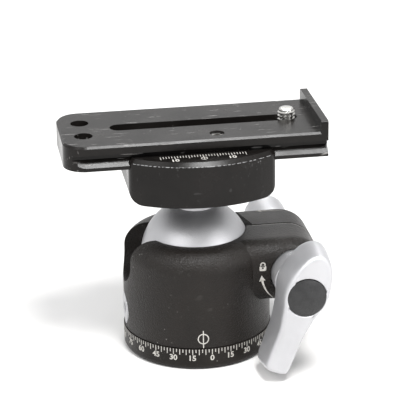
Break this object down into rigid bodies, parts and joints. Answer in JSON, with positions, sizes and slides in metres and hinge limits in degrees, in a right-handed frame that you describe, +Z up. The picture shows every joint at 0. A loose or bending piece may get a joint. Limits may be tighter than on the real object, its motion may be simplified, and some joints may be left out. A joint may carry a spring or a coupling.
{
  "type": "tripod ball head",
  "caption": "Ball head for a tripod with a panning base, split clamping housing, lock lever, drag knob, drop notch, quick-release clamp and dovetail camera plate.",
  "frame": {"origin": "centre of the base's underside, on the panning axis", "axes": "+Z up along the panning axis, -Y to the front where the index mark and the lock lever are, -X to the drop notch, and the plate runs along X"},
  "size_m": [0.0928, 0.0842, 0.0885],
  "materials": {
    "black_satin": "satin black anodised, fine grained",
    "black_gloss": "smooth black anodised",
    "matte_silver": "bead-blasted, matt clear anodised",
    "steel": "turned and polished",
    "spring_steel": "oiled spring steel",
    "brass": "turned brass",
    "white_plastic": "low-friction bearing plastic",
    "black_rubber": "matt black rubber"
  },
  "bodies": {
    "base": {"pan_base": "black_satin", "tripod_thread_bush": "steel", "pan_glide_ring": "white_plastic", "pan_spindle": "steel", "spindle_screws": "steel"},
    "housing": {"housing": "black_satin", "retaining_ring": "steel", "bearing_plate": "steel", "seat_spring": "spring_steel", "lower_seat": "white_plastic", "clamp_nut": "steel", "lever_washer": "white_plastic", "knob_washer": "white_plastic", "pan_brake_shoe": "brass", "pad_spring": "spring_steel"},
    "pan_lock": {"pan_lock_screw": "matte_silver"},
    "lock_lever": {"lock_lever": "matte_silver", "lever_cap": "black_rubber", "lever_screw": "steel", "clamp_bolt": "steel"},
    "drag_knob": {"drag_knob": "matte_silver", "drag_stud": "steel"},
    "drag_pad": {"drag_pad": "white_plastic"},
    "ball": {"ball": "matte_silver", "clamp_screw": "steel"},
    "clamp": {"clamp_body": "black_gloss", "jaw_guide_pins": "steel", "jaw_springs": "spring_steel", "draw_bolt": "steel", "pivot_pin": "steel"},
    "jaw": {"moving_jaw": "black_gloss"},
    "clamp_lever": {"clamp_lever": "black_gloss"},
    "plate": {"camera_plate": "black_gloss", "plate_socket_screw": "steel", "plate_stop_screws": "steel"},
    "keeper": {"screw_keeper": "white_plastic"},
    "camera_screw": {"camera_screw": "steel"}
  },
  "joints": [
    {"name": "pan", "type": "hinge", "parent": "base", "child": "housing", "pos_m": [0, 0, 0], "axis": [0, 0, 1], "continuous": true},
    {"name": "pan_lock_turn", "type": "hinge", "parent": "housing", "child": "pan_lock", "pos_m": [-0.0266, 0, 0.0148], "axis": [-1, 0, 0], "range_deg": [0, 180]},
    {"name": "lock_lever_turn", "type": "hinge", "parent": "housing", "child": "lock_lever", "pos_m": [0.0323, -0.028, 0.0323], "axis": [0, 1, 0], "range_deg": [-70, 20]},
    {"name": "drag_turn", "type": "hinge", "parent": "housing", "child": "drag_knob", "pos_m": [0.0323, 0.022, 0.0323], "axis": [0, 1, 0], "range_deg": [-135, 135]},
    {"name": "tilt", "type": "hinge", "parent": "housing", "child": "drag_pad", "pos_m": [0, 0, 0.035], "axis": [1, 0, 0], "range_deg": [-20, 20]},
    {"name": "drop", "type": "hinge", "parent": "drag_pad", "child": "ball", "pos_m": [0, 0, 0.035], "axis": [0, -1, 0], "range_deg": [-20, 90]},
    {"name": "spin", "type": "hinge", "parent": "ball", "child": "clamp", "pos_m": [0, 0, 0.035], "axis": [0, 0, 1], "continuous": true},
    {"name": "jaw_slide", "type": "slide", "parent": "clamp", "child": "jaw", "axis": [0, 1, 0], "range_m": [0, 0.0033]},
    {"name": "clamp_lever_turn", "type": "hinge", "parent": "clamp", "child": "clamp_lever", "pos_m": [0, 0.03235, 0.069], "axis": [0, 0, -1], "range_deg": [0, 90]},
    {"name": "plate_slide", "type": "slide", "parent": "clamp", "child": "plate", "axis": [1, 0, 0], "range_m": [-0.012, 0.016]},
    {"name": "screw_slide", "type": "slide", "parent": "plate", "child": "keeper", "axis": [1, 0, 0], "range_m": [-0.06, 0.0004]},
    {"name": "screw_turn", "type": "hinge", "parent": "keeper", "child": "camera_screw", "pos_m": [0.0334, 0, 0.08], "axis": [0, 0, 1], "continuous": true}
  ],
  "couplings": [
    {"joint": "jaw_slide", "follows": "clamp_lever_turn", "m_per_rad": 0.0019098}
  ]
}
